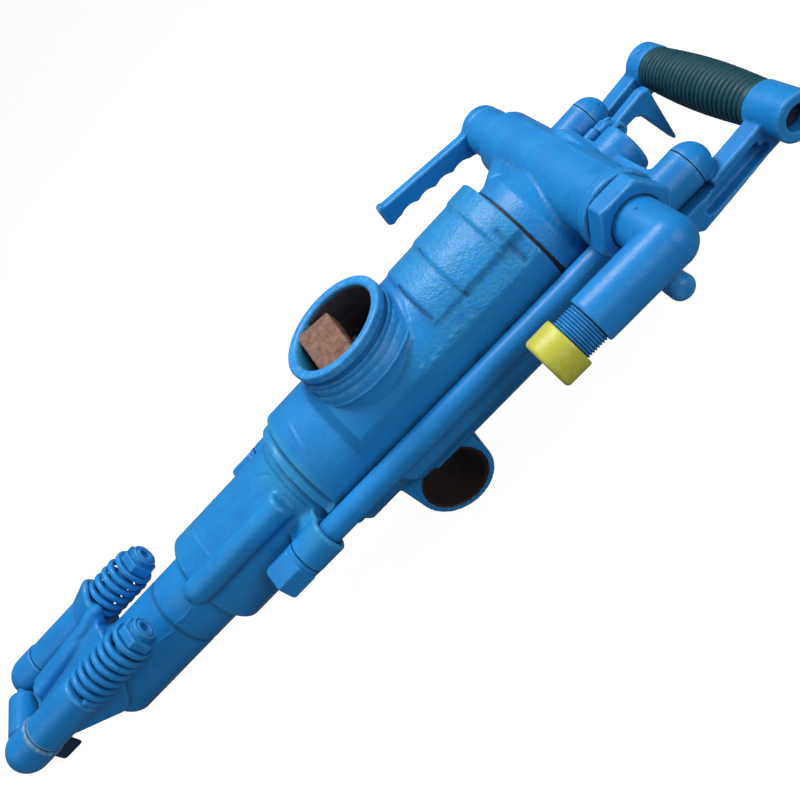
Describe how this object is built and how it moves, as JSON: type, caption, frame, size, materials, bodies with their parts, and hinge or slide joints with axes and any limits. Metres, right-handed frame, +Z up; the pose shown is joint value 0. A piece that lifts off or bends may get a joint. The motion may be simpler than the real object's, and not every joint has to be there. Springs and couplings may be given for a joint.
{
  "type": "pneumatic rock drill",
  "caption": "Hand-held air-leg rock drill with sprung steel retainer, exhaust neck, swivel air elbow, throttle lever and leg retract trigger in a ribbed rear grip.",
  "frame": {"origin": "centre of the feed-leg bore in the lug under the cylinder", "axes": "+X forward along the drill towards the steel, +Y along the feed-leg bore to the air inlet side, +Z up towards the exhaust neck"},
  "size_m": [0.6451, 0.2512, 0.1683],
  "materials": {
    "blue_paint": "semi-gloss sprayed enamel over rough castings",
    "bare_iron": "oiled, faintly rusty",
    "steel": "ground and oiled",
    "dark_steel": "dark forged steel with thin overspray",
    "bronze": "machined",
    "grip_rubber": "ribbed, satin",
    "black_rubber": "matte",
    "yellow_plastic": "soft moulded"
  },
  "bodies": {
    "root": {"cylinder": "blue_paint", "cylinder_liner": "bare_iron", "leg_bush": "bare_iron", "front_head": "blue_paint", "guide_bush": "bronze", "ratchet_ring": "steel", "valve_cover": "steel", "valve_chest": "steel", "head_gasket": "black_rubber", "back_head": "blue_paint", "swivel_nut": "blue_paint", "elbow_seal": "black_rubber", "handle_left": "blue_paint", "handle_right": "blue_paint", "foot_gaskets": "black_rubber", "grip": "grip_rubber", "grip_rod": "steel", "side_bolt_left": "blue_paint", "side_bolt_right": "blue_paint", "side_bolt_washers": "blue_paint", "trigger_pin": "steel", "trigger_spring": "steel", "regulator_gland": "blue_paint", "water_needle": "steel", "needle_packing": "black_rubber", "water_gland": "blue_paint", "water_nipple": "steel", "retainer_spring_left": "blue_paint", "retainer_spring_right": "blue_paint"},
    "chuck": {"chuck_sleeve": "steel", "chuck_bush": "steel", "rotation_nut": "bronze"},
    "hammer": {"piston": "steel", "rifle_nut": "bronze"},
    "rifle": {"rifle_bar": "steel", "pawls": "steel"},
    "kick_valve": {"valve_ring": "steel"},
    "throttle": {"throttle_valve": "steel", "throttle_lever": "blue_paint", "lever_screw": "blue_paint"},
    "elbow": {"inlet_elbow": "blue_paint", "inlet_screen": "bronze"},
    "cap": {"thread_cap": "yellow_plastic"},
    "trigger": {"trigger": "blue_paint"},
    "retract": {"retract_valve": "steel"},
    "regulator": {"regulator_valve": "steel", "regulator_knob": "blue_paint"},
    "retainer": {"retainer_bolt_left": "blue_paint", "retainer_bolt_right": "blue_paint", "retainer_nuts": "blue_paint", "spring_seats": "blue_paint", "retainer_pin": "dark_steel"},
    "fork": {"retainer_fork": "blue_paint"}
  },
  "joints": [
    {"name": "chuck_turn", "type": "hinge", "parent": "root", "child": "chuck", "pos_m": [0.225, 0, 0.07], "axis": [1, 0, 0], "continuous": true},
    {"name": "piston_slide", "type": "slide", "parent": "chuck", "child": "hammer", "axis": [1, 0, 0], "range_m": [0, 0.06]},
    {"name": "rifle_bar_turn", "type": "hinge", "parent": "chuck", "child": "rifle", "pos_m": [-0.125, 0, 0.07], "axis": [1, 0, 0], "range_deg": [-24.2, 0.2]},
    {"name": "valve_slide", "type": "slide", "parent": "root", "child": "kick_valve", "axis": [1, 0, 0], "range_m": [0, 0.003]},
    {"name": "throttle_turn", "type": "hinge", "parent": "root", "child": "throttle", "pos_m": [-0.188, 0, 0.0935], "axis": [0, 1, 0], "range_deg": [-80, 0]},
    {"name": "elbow_swivel", "type": "hinge", "parent": "root", "child": "elbow", "pos_m": [-0.188, 0.1, 0.0935], "axis": [0, 1, 0], "continuous": true},
    {"name": "cap_pull", "type": "slide", "parent": "elbow", "child": "cap", "axis": [1, 0, 0], "range_m": [0, 0.03]},
    {"name": "trigger_pull", "type": "hinge", "parent": "root", "child": "trigger", "pos_m": [-0.239, -0.03, 0.067], "axis": [0, 1, 0], "range_deg": [0, 12], "stiffness_Nm_per_rad": 1.2, "springref_deg": -14.32},
    {"name": "retract_slide", "type": "slide", "parent": "root", "child": "retract", "axis": [1, 0, 0], "range_m": [-0.0002, 0.0025]},
    {"name": "regulator_turn", "type": "hinge", "parent": "root", "child": "regulator", "pos_m": [-0.185, 0.06, 0.036], "axis": [0, 1, 0], "range_deg": [0, 120]},
    {"name": "retainer_slide", "type": "slide", "parent": "root", "child": "retainer", "axis": [1, 0, 0], "range_m": [0, 0.008], "stiffness_N_per_m": 30000, "springref_m": -0.004, "deforming": ["retainer_spring_left", "retainer_spring_right"]},
    {"name": "fork_flip", "type": "hinge", "parent": "retainer", "child": "fork", "pos_m": [0.329, 0, 0.106], "axis": [0, 1, 0], "range_deg": [-120, 0]}
  ],
  "couplings": [
    {"joint": "rifle_bar_turn", "follows": "piston_slide", "rad_per_m": -6.9813},
    {"joint": "retract_slide", "follows": "trigger_pull", "m_per_rad": 0.008}
  ]
}
